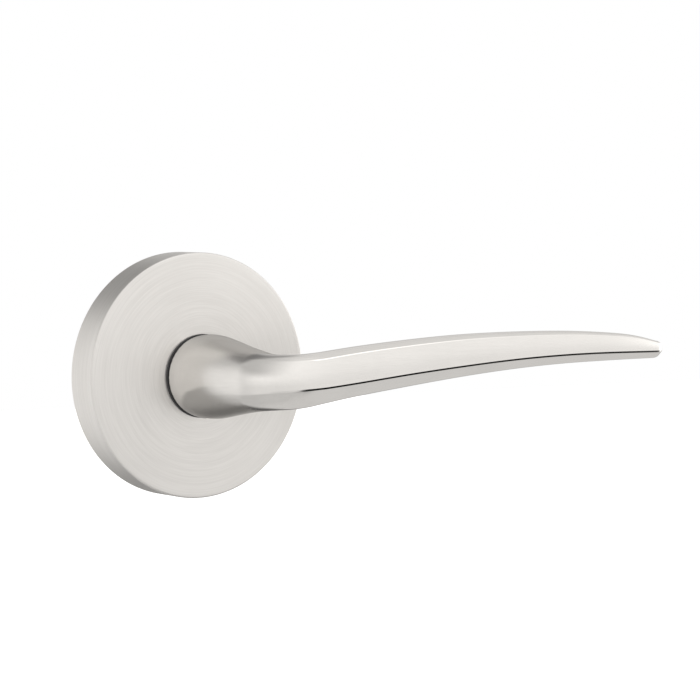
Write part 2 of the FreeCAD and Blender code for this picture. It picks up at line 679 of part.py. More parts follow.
def grub_hole(body):
    """Threaded hole for the grub screw, from below up to the socket."""
    sketch = new_sketch(body, "XY_Plane", normal="-grub_clear")
    circle(sketch, "grub_radius", "0", "-grub_out")
    feature = body.newObject("PartDesign::Pocket", body.Label + "_grub_hole")
    feature.Profile = sketch
    feature.Reversed = True
    feature.setExpression("Length", bound("grub_clear-socket_half+0.5"))
    finish_feature(body, feature)


def make_spindle():
    """Square bar that turns the latch."""
    body = new_body("spindle")
    raised(body, lambda sketch: rectangle(sketch, "-spindle_half", "spindle_half", "-spindle_half",
                                          "spindle_half"), "-spindle_back", "hub_end-1")
    round_edges(body, "Chamfer", "spindle_chamfer",
                lambda edge: abs(edge.Vertexes[0].Y - edge.Vertexes[-1].Y) > 1)


def make_grub_screw():
    """Set screw with a hexagon socket, standing on the spindle."""
    body = new_body("grub_screw")
    sketch = new_sketch(body, "XY_Plane", normal="-grub_end")
    circle(sketch, "grub_radius", "0", "-grub_out")
    feature = body.newObject("PartDesign::Pad", "grub_screw_pad")
    feature.Profile = sketch
    feature.setExpression("Length", bound("grub_end-spindle_half"))
    finish_feature(body, feature)
    sketch = new_sketch(body, "XY_Plane", normal="-grub_end")
    corners = []
    for i in range(6):
        across, along = polar("grub_socket", str(60 * i))
        corners.append((across, "-grub_out+" + along))
    polygon(sketch, corners)
    feature = body.newObject("PartDesign::Pocket", "grub_screw_socket")
    feature.Profile = sketch
    feature.Reversed = True
    feature.setExpression("Length", bound("grub_radius"))
    finish_feature(body, feature)


# ------------------------------------------------------------------ return spring

def on_circle(radius, angle, out):
    """Point at a radius and an angle in radians, at a distance out."""
    return Vector(radius * math.cos(angle), -out, radius * math.sin(angle))


def leg_bend(angle, out, sense):
    """Leg and bend at one end of the coil.

    The bend is an arc that touches the coil's circle outside and the radial leg. Sense is +1 when
    the coil lies anticlockwise of the leg, seen from the room.
    """
    mean = value("spring_mean_radius")
    bend = value("spring_bend")
    reach = mean + bend
    turn = math.asin(bend / reach)
    coil_angle = angle + sense * turn
    centre = on_circle(reach, coil_angle, out)
    touch = on_circle(reach * math.cos(turn), angle, out)
    start = on_circle(mean, coil_angle, out)
    towards = (start - centre).normalize() + (touch - centre).normalize()
    middle = centre + towards.normalize() * bend
    return coil_angle, start, middle, touch, on_circle(value("spring_leg_end"), angle, out)


def make_return_spring():
    """Torsion spring, wound clockwise from the fixed rear leg to the driven front leg."""
    clearance = math.degrees(math.asin((value("spring_wire_radius") + 0.03) / value("lug_radius")))
    front_leg = value("ear_rest_angle-ear_half_angle") - clearance
    back_out = value("spring_back")
    front_out = value("spring_front")
    start_angle, start, start_middle, start_touch, start_end = leg_bend(
        math.radians(value("spring_fixed_angle")), back_out, -1)
    end_angle, end, end_middle, end_touch, end_end = leg_bend(math.radians(front_leg), front_out, 1)
    sweep = start_angle - end_angle + 2 * math.pi
    steps = 48
    mean = value("spring_mean_radius")
    coil_points = []
    for i in range(steps + 1):
        share = i / steps
        out = back_out + (front_out - back_out) * share
        coil_points.append(on_circle(mean, start_angle - sweep * share, out))
    coil = Part.BSplineCurve()
    coil.interpolate(coil_points)
    wire = Part.Wire([Part.LineSegment(start_end, start_touch).toShape(),
                      Part.Arc(start_touch, start_middle, start).toShape(),
                      coil.toShape(),
                      Part.Arc(end, end_middle, end_touch).toShape(),
                      Part.LineSegment(end_touch, end_end).toShape()])
    section = Part.Circle(start_end, start_touch - start_end, value("spring_wire_radius"))
    shape = wire.makePipeShell([Part.Wire(section.toShape())], True, False)
    add_feature("return_spring", shape)


def add_feature(label, shape):
    """Keeps a shape that was built with Part's own functions."""
    feature = doc.addObject("Part::Feature", label)
    feature.Label = label
    feature.Shape = shape
    feature.Placement = FreeCAD.Placement()
    parts.append(feature)


# ------------------------------------------------------------------ lever

def rounded_outline(corners, arc_steps, side_steps):
    """Points along a closed outline with rounded corners and slightly crowned sides.

    Corners are (s, z, radius, crown of the side that follows). Each corner gives arc_steps + 1
    points and each side side_steps points, so that every section has the same number of points.
    """
    count = len(corners)
    arcs = [corner_arc(corners[i - 1], corners[i], corners[(i + 1) % count], arc_steps)
            for i in range(count)]
    points = []
    for i in range(count):
        points += arcs[i]
        start = arcs[i][-1]
        run = arcs[(i + 1) % count][0] - start
        outward = Vector(run.y, -run.x, 0).normalize()
        for step in range(1, side_steps + 1):
            share = step / (side_steps + 1)
            points.append(start + run * share + outward * (corners[i][3] * math.sin(math.pi * share)))
    return points


def corner_arc(before, corner, after, steps):
    """Points of the arc that rounds one corner."""
    here = Vector(corner[0], corner[1], 0)
    back = (Vector(before[0], before[1], 0) - here).normalize()
    onward = (Vector(after[0], after[1], 0) - here).normalize()
    half = back.getAngle(onward) / 2
    radius = corner[2]
    centre = here + (back + onward).normalize() * (radius / math.sin(half))
    first = here + back * (radius / math.tan(half)) - centre
    last = here + onward * (radius / math.tan(half)) - centre
    sweep = math.pi - 2 * half
    arc = []
    for step in range(steps + 1):
        share = step / steps
        turned_arm = first * math.sin((1 - share) * sweep) + last * math.sin(share * sweep)
        arc.append(centre + turned_arm * (1 / math.sin(sweep)))
    return arc


def blade_outline(bottom, crease, top, thickness):
    """Blade section: crowned front, crisp lower crease, bevel below it and a full back."""
    height = top - bottom
    half = thickness / 2
    ease = value("ease_height")
    corners = ((half, crease + ease / 2, 0.4 * ease, 0.02 * height),
               (0.93 * half, top - 0.12 * height, 0.05 * height, 0.01 * height),
               (0.45 * half, top, 0.16 * height, 0.01 * height),
               (-0.80 * half, top - 0.13 * height, 0.24 * height, 0.03 * height),
               (-half, bottom + 0.27 * height, 0.22 * height, 0.02 * height),
               (-0.12 * half, bottom, 0.11 * height, 0),
               (half - value("ease_depth"), crease - ease / 2, 0.4 * ease, 0))
    points = rounded_outline(corners, 4, 3)
    low = min(point.y for point in points)
    high = max(point.y for point in points)
    stretch = height / (high - low)
    return [Vector(point.x, bottom + (point.y - low) * stretch, 0) for point in points]


def outline_shares():
    """How far along its outline each point of a section lies, from 0 to 1."""
    station = [value("blade_b_" + kind) for kind in BLADE_SIZES]
    points = blade_outline(*station)
    lengths = [0.0]
    for i in range(len(points)):
        lengths.append(lengths[-1] + points[i].distanceToPoint(points[(i + 1) % len(points)]))
    return [length / lengths[-1] for length in lengths]


def round_outline(radius, middle, shares):
    """Round section whose points start where the crease will be."""
    start = math.radians(-18)
    points = []
    for share in shares[:-1]:
        angle = start + 2 * math.pi * share
        points.append(Vector(radius * math.cos(angle), middle + radius * math.sin(angle), 0))
    return points


def smooth(share):
    """Soft step from 0 to 1."""
    share = min(max(share, 0.0), 1.0)
    return share * share * (3 - 2 * share)


def law(places, numbers):
    """A smooth function through the given numbers at the given places."""
    curve = Part.BSplineCurve()
    points = [Vector(place, number, 0) for place, number in zip(places, numbers)]
    curve.interpolate(Points=points, Parameters=places)
    return lambda place: curve.value(place).y


class LeverShape:
    """Centreline and sections of the lever, by distance along the centreline from the foot."""

    def __init__(self):
        self.foot = value(LEVER_FOOT)
        self.elbow = value("elbow_radius")
        self.neck_end = value("blade_out") - self.elbow - self.foot
        self.blade_start = self.neck_end + self.elbow * math.pi / 2
        self.tip = self.blade_start + value("lever_length") - self.elbow
        self.shares = outline_shares()
        round_names = [station[0] for station in ROUND_STATIONS]
        self.radius = law([value(name + "_along") for name in round_names],
                          [value(name + "_radius") for name in round_names])
        blade_names = [station[0] for station in BLADE_STATIONS]
        places = [self.blade_start - self.elbow + value(name + "_along") for name in blade_names]
        self.last_station = places[-1]
        self.sizes = [law(places, [value("%s_%s" % (name, kind)) for name in blade_names])
                      for kind in BLADE_SIZES]

    def centreline(self, place):
        """Point (x, out) and direction of the centreline."""
        if place < self.neck_end:
            return Vector(0, self.foot + place, 0), Vector(0, 1, 0)
        if place < self.blade_start:
            angle = (place - self.neck_end) / self.elbow
            out = self.foot + self.neck_end + self.elbow * math.sin(angle)
            return (Vector(self.elbow * (1 - math.cos(angle)), out, 0),
                    Vector(math.sin(angle), math.cos(angle), 0))
        power = 1.7
        length = self.tip - self.blade_start
        share = (place - self.blade_start) / length
        out = value("blade_out") - value("blade_return") * share ** power
        slope = -value("blade_return") * power * share ** (power - 1) / length
        return Vector(self.elbow + share * length, out, 0), Vector(1, slope, 0).normalize()

    def outline(self, place):
        """Outline of the section, without the rounding of the nose."""
        blend = smooth((place - self.neck_end) / (self.blade_start - self.neck_end))
        if blend == 1:
            return blade_outline(*[size(place) for size in self.sizes])
        neck = round_outline(self.radius(place), 0.5 * blend, self.shares)
        if blend == 0:
            return neck
        blade = blade_outline(*[size(place) for size in self.sizes])
        return [a * (1 - blend) + b * blend for a, b in zip(neck, blade)]

    def wire(self, place, shrink=1.0):
        """Section at a place, shrunk towards the tip's height where the nose rounds off."""
        centre, along = self.centreline(place)
        side = Vector(-along.y, along.x, 0)
        middle = value("nose_height")
        placed = []
        for point in self.outline(min(place, self.last_station)):
            s = point.x * shrink
            z = middle + (point.y - middle) * shrink
            placed.append(Vector(centre.x + side.x * s, -(centre.y + side.y * s), z))
        curve = Part.BSplineCurve()
        curve.interpolate(Points=placed, PeriodicFlag=True, Parameters=self.shares)
        return Part.Wire(curve.toShape())

    def wires(self):
        """Sections at even distances, then closer ones round the nose."""
        step = 3.5
        nose_start = self.tip - value("nose_length")
        count = round(nose_start / step)
        wires = [self.wire(nose_start * i / count) for i in range(count + 1)]
        for degrees in (30, 52, 68, 80, 86):
            turn = math.radians(degrees)
            wires.append(self.wire(nose_start + value("nose_length") * math.sin(turn), math.cos(turn)))
        return wires


def make_lever_handle():
    """Neck and blade in one casting, bored for the hub and drilled for the grub screw."""
    lever = Part.makeLoft(LeverShape().wires(), True, False)
    foot = value(LEVER_FOOT)
    bore_end = value("hub_end") + 0.2
    outward = Vector(0, -1, 0)
    bore = Part.makeCylinder(value("drive_radius"), bore_end - foot + 1, Vector(0, -foot + 1, 0), outward)
    grub = Part.makeCylinder(value("grub_radius"), value("grub_clear"),
                             Vector(0, -value("grub_out"), -value("grub_clear")), Vector(0, 0, 1))
    add_feature("lever_handle", lever.cut(bore).cut(grub))


# ------------------------------------------------------------------ build

def check(objects):
    """Stops on a failed object or a bad shape."""
    for item in doc.Objects:
        if "Invalid" in item.State or "Error" in item.State:
            raise RuntimeError("%s is %s" % (item.Name, item.State))
    for item in objects:
        if item.Shape.isNull() or not item.Shape.isValid() or not item.Shape.Solids:
            raise RuntimeError("%s has no valid solid" % item.Label)


def main():
    fill_sheet()
    make_rose_cover()
    make_neck_bush()
    make_mounting_base()
    make_cover_snap_ring()
    make_backing_plate()
    make_backing_plate_screws()
    make_mounting_posts()
    make_stop_pins()
    make_stop_sleeves()
    make_rear_bush()
    make_return_spring()
    make_spring_driver()
    make_lever_hub()
    make_lever_handle()
    make_thrust_washer()
    make_disc_spring()
    make_retaining_ring()
    make_spindle()
    make_grub_screw()
    doc.recompute()
    check(parts)
    os.makedirs("parts", exist_ok=True)
    for item in parts:
        item.Shape.exportStep(os.path.join("parts", item.Label + ".step"))
        print("%-22s solids %d volume %9.1f" % (item.Label, len(item.Shape.Solids), item.Shape.Volume))


main()
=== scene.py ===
"""Looks of the lever handle lockset: finishes, the twisting return spring, studio and camera.

Everything is in metres in the CAD frame: Z up, Y into the door, X along the lever's blade, and the
origin on the spindle's axis at the door face. "Out" is the distance from the door towards the room.
"""
import json
import math

import bmesh
import bpy
import numpy as np
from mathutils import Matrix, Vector

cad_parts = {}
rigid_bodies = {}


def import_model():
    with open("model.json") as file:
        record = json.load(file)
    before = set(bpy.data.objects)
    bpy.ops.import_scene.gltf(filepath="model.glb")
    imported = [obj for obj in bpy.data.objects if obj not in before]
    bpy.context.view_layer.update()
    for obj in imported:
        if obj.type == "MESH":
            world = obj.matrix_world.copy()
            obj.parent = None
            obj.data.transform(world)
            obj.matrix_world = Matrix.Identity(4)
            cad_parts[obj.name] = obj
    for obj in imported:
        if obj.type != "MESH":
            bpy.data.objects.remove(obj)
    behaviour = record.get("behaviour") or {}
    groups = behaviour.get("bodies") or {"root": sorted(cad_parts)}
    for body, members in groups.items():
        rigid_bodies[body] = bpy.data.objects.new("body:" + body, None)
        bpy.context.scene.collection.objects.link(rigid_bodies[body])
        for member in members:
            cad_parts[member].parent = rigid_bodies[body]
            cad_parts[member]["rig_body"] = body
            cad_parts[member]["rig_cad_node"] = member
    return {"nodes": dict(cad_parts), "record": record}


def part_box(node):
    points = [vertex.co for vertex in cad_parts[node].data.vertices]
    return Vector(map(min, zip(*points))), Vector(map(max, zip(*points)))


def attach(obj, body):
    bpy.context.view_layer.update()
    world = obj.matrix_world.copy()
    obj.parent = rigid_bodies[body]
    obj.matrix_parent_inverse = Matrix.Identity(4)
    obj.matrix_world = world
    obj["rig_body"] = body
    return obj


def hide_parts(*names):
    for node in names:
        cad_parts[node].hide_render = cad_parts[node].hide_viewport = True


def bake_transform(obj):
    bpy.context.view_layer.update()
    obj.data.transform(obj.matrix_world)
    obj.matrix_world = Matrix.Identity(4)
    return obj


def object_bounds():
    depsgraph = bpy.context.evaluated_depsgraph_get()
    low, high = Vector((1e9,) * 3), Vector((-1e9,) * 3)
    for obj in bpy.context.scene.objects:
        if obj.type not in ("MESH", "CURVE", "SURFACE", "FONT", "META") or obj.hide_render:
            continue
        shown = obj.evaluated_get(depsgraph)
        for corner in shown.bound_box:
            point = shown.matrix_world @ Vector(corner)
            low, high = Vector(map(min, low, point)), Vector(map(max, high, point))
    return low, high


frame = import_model()
CAD_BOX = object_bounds()
NODES = frame["nodes"]
MM = 0.001


# ------------------------------------------------------------------ shader helpers

class Shader:
    """A node material with one Principled shader, and short calls to add nodes to it."""

    def __init__(self, name):
        self.material = bpy.data.materials.new(name)
        self.material.use_nodes = True
        self.tree = self.material.node_tree
        self.surface = self.tree.nodes["Principled BSDF"]

    def node(self, kind, settings=None, **inputs):
        """Adds a node. Inputs are numbers, colours or sockets; socket names use _ for a space."""
        made = self.tree.nodes.new(kind)
        for key, setting in (settings or {}).items():
            setattr(made, key, setting)
        for key, given in inputs.items():
            self.put(made.inputs[key.replace("_", " ")], given)
        return made

    def put(self, socket, given):
        """Links a socket or sets a value."""
        if isinstance(given, bpy.types.NodeSocket):
            self.tree.links.new(given, socket)
        else:
            socket.default_value = given

    def math(self, operation, first, second=0.0, third=0.0):
        """A math node's result."""
        made = self.node("ShaderNodeMath", {"operation": operation})
        for socket, given in zip(made.inputs, (first, second, third)):
            self.put(socket, given)
        return made.outputs[0]

    def ramp(self, given, low, high, start=0.0, end=1.0):
        """Maps low..high softly to start..end, clamped."""
        made = self.node("ShaderNodeMapRange", {"interpolation_type": "SMOOTHSTEP"}, Value=given)
        made.inputs["From Min"].default_value = low
        made.inputs["From Max"].default_value = high
        made.inputs["To Min"].default_value = start
        made.inputs["To Max"].default_value = end
        return made.outputs[0]

    def point(self):
        """X, Y and Z of the shaded point, in metres in the CAD frame."""
        place = self.node("ShaderNodeTexCoord").outputs["Object"]
        split = self.node("ShaderNodeSeparateXYZ", Vector=place)
        return split.outputs[0], split.outputs[1], split.outputs[2]

    def vector(self, x, y, z):
        """A vector from three numbers or sockets."""
        return self.node("ShaderNodeCombineXYZ", X=x, Y=y, Z=z).outputs[0]

    def noise(self, vector, scale=1.0, detail=2.0, roughness=0.5):
        """Noise from 0 to 1."""
        made = self.node("ShaderNodeTexNoise", Vector=vector, Scale=scale, Detail=detail,
                         Roughness=roughness)
        return made.outputs["Fac"]

    def tint(self, share, dark, light):
        """A colour between two, by a share from 0 to 1."""
        made = self.node("ShaderNodeMix", {"data_type": "RGBA"})
        self.put(made.inputs[0], share)
        self.put(made.inputs[6], (*dark, 1.0))
        self.put(made.inputs[7], (*light, 1.0))
        return made.outputs[2]

    def bump(self, height, distance):
        """A normal that rises with a height from 0 to 1, over the distance in metres."""
        return self.node("ShaderNodeBump", Height=height, Distance=distance, Strength=1.0).outputs[0]

    def finish(self, **inputs):
        """Sets the Principled shader's inputs and returns the material."""
        for key, given in inputs.items():
            self.put(self.surface.inputs[key.replace("_", " ")], given)
        return self.material


# ------------------------------------------------------------------ brushed and turned steel

# Where the painted shade that the steel gets in other metal's reflections changes: along the blade, and
# below the spindle's axis.
REFLECTION_SHADE_SIDES = (-16 * MM, 1 * MM)
REFLECTION_SHADE_BELOW = (-11 * MM, -8 * MM)
# How fast the turned lines go on over the rose's side, next to how fast they go over its face.
SIDE_LINES = 0.7


def turned_steel(name, light, dark, roughness, line=0.00018, height=0.0000012, anisotropy=0.6,
                 metallic=1.0, painted_reflection_shade=(1.0, 1.0, 1.0)):
    """Steel with concentric lines about the Y axis, in arcs that fade in and out.

    Painted reflection shade: in the reflections of other metal the steel is painted darker than the
    camera sees it, by three shares:
    above the axis away from the tip and towards the tip, and below the axis.
    """
    shader = Shader(name)
    x, y, z = shader.point()
    radius = shader.math("SQRT", shader.math("ADD", shader.math("MULTIPLY", x, x),
                                             shader.math("MULTIPLY", z, z)))
    angle = shader.math("ARCTAN2", z, x)
    around = shader.math("SINE", angle)
    across = shader.math("COSINE", angle)

    def arcs(pitch, sweep):
        reach = shader.math("ADD", radius, shader.math("MULTIPLY", y, SIDE_LINES))
        rings = shader.math("DIVIDE", reach, pitch)
        place = shader.vector(rings, shader.math("MULTIPLY", around, sweep),
                              shader.math("MULTIPLY", across, sweep))
        return shader.noise(place, 1.0, 2.0)

    fine = arcs(line, 2.5)
    middle = arcs(line * 3.5, 1.6)
    broad = arcs(line * 9, 1.1)
    mixed = shader.math("ADD", shader.math("MULTIPLY", fine, 0.5),
                        shader.math("ADD", shader.math("MULTIPLY", middle, 0.3),
                                    shader.math("MULTIPLY", broad, 0.2)))
    cloud = shader.noise(shader.vector(x, y, z), 55.0, 3.0)
    shade = shader.math("ADD", shader.math("MULTIPLY", mixed, 0.8), shader.math("MULTIPLY", cloud, 0.2))
    colour = shader.tint(shader.ramp(shade, 0.36, 0.64), dark, light)
    # Painted shade: glossy rays see this steel's colour scaled down by the painted reflection shade, so
    # metal that mirrors it looks shaded.
    in_mirror = shader.node("ShaderNodeLightPath").outputs["Is Glossy Ray"]
    away, towards, below = painted_reflection_shade
    above = shader.ramp(x, *REFLECTION_SHADE_SIDES, away, towards)
    lift = shader.math("MULTIPLY", shader.math("SUBTRACT", above, below), shader.ramp(z, *REFLECTION_SHADE_BELOW))
    reflection_shade_level = shader.math("ADD", lift, below)
    kept = shader.math("MULTIPLY_ADD", in_mirror, shader.math("SUBTRACT", reflection_shade_level, 1.0), 1.0)
    scale = shader.node("ShaderNodeVectorMath", {"operation": "SCALE"}, Vector=colour, Scale=kept)
    rough = shader.ramp(mixed, 0.35, 0.65, roughness + 0.05, roughness - 0.05)
    tangent = shader.node("ShaderNodeTangent", {"direction_type": "RADIAL", "axis": "Y"}).outputs[0]
    return shader.finish(Base_Color=scale.outputs[0], Metallic=metallic, Roughness=rough,
                         Anisotropic=anisotropy, Tangent=tangent, Normal=shader.bump(mixed, height))


def grained_steel(name, light, dark, roughness, blade_start, blade_full, grain=0.00012,
                  height=0.0000007):
    """Satin steel whose grain runs out along the neck and then, between two X, along the blade."""
    shader = Shader(name)
    x, y, z = shader.point()
    # Width of a line of the grain, next to its length.
    stretch = 0.03

    def lines(pitch):
        along_neck = shader.vector(shader.math("DIVIDE", x, pitch),
                                   shader.math("DIVIDE", y, pitch / stretch),
                                   shader.math("DIVIDE", z, pitch))
        along_blade = shader.vector(shader.math("DIVIDE", x, pitch / stretch),
                                    shader.math("DIVIDE", y, pitch),
                                    shader.math("DIVIDE", z, pitch))
        neck = shader.noise(along_neck, 1.0, 2.0)
        blade = shader.noise(along_blade, 1.0, 2.0)
        share = shader.ramp(x, blade_start, blade_full)
        mix = shader.node("ShaderNodeMix", {"data_type": "FLOAT"})
        shader.put(mix.inputs[0], share)
        shader.put(mix.inputs[2], neck)
        shader.put(mix.inputs[3], blade)
        return mix.outputs[0]

    fine = lines(grain)
    broad = lines(grain * 5)
    mixed = shader.math("ADD", shader.math("MULTIPLY", fine, 0.6), shader.math("MULTIPLY", broad, 0.4))
    cloud = shader.noise(shader.vector(x, y, z), 70.0, 3.0)
    shade = shader.math("ADD", shader.math("MULTIPLY", mixed, 0.6), shader.math("MULTIPLY", cloud, 0.4))
    colour = shader.tint(shader.ramp(shade, 0.35, 0.65), dark, light)
    rough = shader.ramp(shade, 0.35, 0.65, roughness + 0.03, roughness - 0.03)
    return shader.finish(Base_Color=colour, Metallic=1.0, Roughness=rough,
                         Normal=shader.bump(mixed, height))


def mottled(name, light, dark, roughness, metallic, scale, height):
    """A finish with an all-over mottle: castings, plating, oxide, sintered bronze and nylon."""
    spread = 0.08
    shader = Shader(name)
    x, y, z = shader.point()
    place = shader.vector(x, y, z)
    coarse = shader.noise(place, scale * 0.12, 3.0)
    fine = shader.noise(place, scale, 5.0, 0.6)
    shade = shader.math("ADD", shader.math("MULTIPLY", coarse, 0.55), shader.math("MULTIPLY", fine, 0.45))
    colour = shader.tint(shader.ramp(shade, 0.35, 0.65), dark, light)
    rough = shader.ramp(shade, 0.3, 0.7, roughness + spread, roughness - spread)
    return shader.finish(Base_Color=colour, Metallic=metallic, Roughness=rough,
                         Normal=shader.bump(fine, height))


# ------------------------------------------------------------------ mesh helpers

# Edges that bend by at least this angle, in degrees, stay sharp.
SHARP_ANGLE = 40
# How far a cutter reaches past what it cuts, in millimetres.
CUT_MARGIN = 1


def add_piece(name, points, faces):
    """A smooth-shaded mesh object from points in millimetres."""
    mesh = bpy.data.meshes.new(name)
    mesh.from_pydata([Vector(point) * MM for point in points], [], faces)
    shaped = bmesh.new()
    shaped.from_mesh(mesh)
    bmesh.ops.remove_doubles(shaped, verts=shaped.verts, dist=1e-7)
    bmesh.ops.recalc_face_normals(shaped, faces=shaped.faces)
    shaped.to_mesh(mesh)
    shaped.free()
    piece = bpy.data.objects.new(name, mesh)
    bpy.context.scene.collection.objects.link(piece)
    smooth_shade(mesh)
    return piece


def smooth_shade(mesh):
    """Smooth shading that keeps the sharp edges."""
    mesh.polygons.foreach_set("use_smooth", [True] * len(mesh.polygons))
    mesh.set_sharp_from_angle(angle=math.radians(SHARP_ANGLE))


def skin(rings, closed=False):
    """Points and quads of a tube through rings of equally many points."""
    count = len(rings[0])
    points = [point for ring in rings for point in ring]
    faces = []
    for i in range(len(rings) if closed else len(rings) - 1):
        here, there = i * count, (i + 1) % len(rings) * count
        for j in range(count):
            k = (j + 1) % count
            faces.append((here + j, here + k, there + k, there + j))
    return points, faces


def cut(piece, cutter):
    """Cuts one object out of another for good."""
    step = piece.modifiers.new("cut", "BOOLEAN")
    step.operation = "DIFFERENCE"
    step.solver = "EXACT"
    step.object = cutter
    cutter_mesh = cutter.data
    evaluated = piece.evaluated_get(bpy.context.evaluated_depsgraph_get())
    mesh = bpy.data.meshes.new_from_object(evaluated)
    piece.modifiers.clear()
    piece.data = mesh
    bpy.data.objects.remove(cutter)
    bpy.data.meshes.remove(cutter_mesh)
    smooth_shade(mesh)


# ------------------------------------------------------------------ lever

# Round sections: distance along the centreline from the neck's foot, radius (millimetres).
ROUND_STATIONS = ((0, 11.1), (3.5, 11.4), (9.5, 10.9), (17.5, 9.55), (28.5, 7.95), (37, 7.2), (45.5, 7))
# Blade sections: distance from the spindle's axis, bottom, front crease, top, thickness.
BLADE_STATIONS = (
    (-10, -8.75, -2.8, 6, 11.6),
    (5, -7.1, -1.55, 7.4, 11.2),
    (20, -4.8, -0.2, 9, 10.6),
    (36, -2.75, 1.4, 10.3, 9.8),
    (55, -0.6, 3, 11.35, 8.8),
    (75, 1.15, 4.3, 11.65, 7.7),
    (95, 2.2, 4.95, 11.3, 6.5),
    (110, 2.5, 5, 10.4, 5.5),
    (120, 2.6, 4.85, 9.25, 4.7),
    (127.6, 2.65, 4.7, 7.6, 4),
)
# The blade's centreline comes back to the door by this much at its tip, as a power of its length.
BLADE_OUT, BLADE_RETURN, RETURN_POWER = 52.5, 3.6, 1.7
ELBOW_RADIUS, ELBOW_LIFT = 10.5, 0.5
# The nose stops just short of a right angle, so that its end keeps an area.
NOSE_LENGTH, NOSE_HEIGHT, NOSE_TURN, NOSE_STEPS = 2.6, 4.7, 89.5, 10
# Eased edge along the front crease.
EASE_HEIGHT, EASE_DEPTH = 0.5, 0.23
# Bore for the hub: radius, front end above the door face, and radius of the middle of its floor.
HUB_BORE, BORE_END, BORE_MIDDLE = 8.0, 27.2, 0.01
# Grub screw's hole: radius, distance above the door face, start and end below the axis.
GRUB_RADIUS, GRUB_OUT, GRUB_START, GRUB_END = 2.5, 19.0, 14.0, 5.0
# A round section's points go as a blade section's do, starting at this angle below the side.
CREASE_START, SAMPLE_STATION = math.radians(-18), 3
ARC_STEPS, SIDE_STEPS, DRILL_STEPS = 8, 7, 64
SECTION_SPACING = 1.0
FOOT_CHAMFER = 0.15


def spline(places, numbers):
    """A natural cubic spline through the numbers at the places."""
    x, y = np.array(places, float), np.array(numbers, float)
    gap = np.diff(x)
    slope = np.diff(y) / gap
    system = np.eye(len(x))
    right = np.zeros(len(x))
    for i in range(1, len(x) - 1):
        system[i, i - 1:i + 2] = gap[i - 1], 2 * (gap[i - 1] + gap[i]), gap[i]
        right[i] = 6 * (slope[i] - slope[i - 1])
    bend = np.linalg.solve(system, right)

    def at(place):
        i = min(max(int(np.searchsorted(x, place)) - 1, 0), len(gap) - 1)
        before, after, span = place - x[i], x[i + 1] - place, gap[i]
        return float((bend[i] * after ** 3 + bend[i + 1] * before ** 3) / (6 * span)
                     + (y[i] / span - bend[i] * span / 6) * after
                     + (y[i + 1] / span - bend[i + 1] * span / 6) * before)
    return at


def corner_arc(before, corner, after):
    """Points of the arc that rounds one corner. A corner is its place and its radius."""
    here = np.array(corner[:2], float)
    back = np.array(before[:2]) - here
    onward = np.array(after[:2]) - here
    back, onward = back / np.linalg.norm(back), onward / np.linalg.norm(onward)
    half = math.acos(float(back @ onward)) / 2
    radius = corner[2]
    middle = (back + onward) / np.linalg.norm(back + onward)
    centre = here + middle * radius / math.sin(half)
    first = here + back * radius / math.tan(half) - centre
    last = here + onward * radius / math.tan(half) - centre
    sweep = math.pi - 2 * half
    shares = [step / ARC_STEPS for step in range(ARC_STEPS + 1)]
    return [centre + (first * math.sin((1 - share) * sweep) + last * math.sin(share * sweep))
            / math.sin(sweep) for share in shares]


def blade_outline(bottom, crease, top, thickness):
    """Blade section: crowned front, crisp lower crease, bevel below it and a full back.

    A corner is its side, its height, its radius and the bulge of the run that follows it.
    """
    height, half = top - bottom, thickness / 2
    corners = ((half, crease + EASE_HEIGHT / 2, 0.4 * EASE_HEIGHT, 0.02 * height),
               (0.93 * half, top - 0.12 * height, 0.05 * height, 0.01 * height),
               (0.45 * half, top, 0.16 * height, 0.01 * height),
               (-0.80 * half, top - 0.13 * height, 0.24 * height, 0.03 * height),
               (-half, bottom + 0.27 * height, 0.22 * height, 0.02 * height),
               (-0.12 * half, bottom, 0.11 * height, 0),
               (half - EASE_DEPTH, crease - EASE_HEIGHT / 2, 0.4 * EASE_HEIGHT, 0))
    count = len(corners)
    arcs = [corner_arc(corners[i - 1], corners[i], corners[(i + 1) % count]) for i in range(count)]
    points = []
    for i in range(count):
        points += arcs[i]
        run = arcs[(i + 1) % count][0] - arcs[i][-1]
        outward = np.array((run[1], -run[0])) / np.linalg.norm(run)
        for step in range(1, SIDE_STEPS + 1):
            share = step / (SIDE_STEPS + 1)
            points.append(arcs[i][-1] + run * share + outward * corners[i][3] * math.sin(math.pi * share))
    points = np.array(points)
    low, high = points[:, 1].min(), points[:, 1].max()
    points[:, 1] = bottom + (points[:, 1] - low) * height / (high - low)
    return points


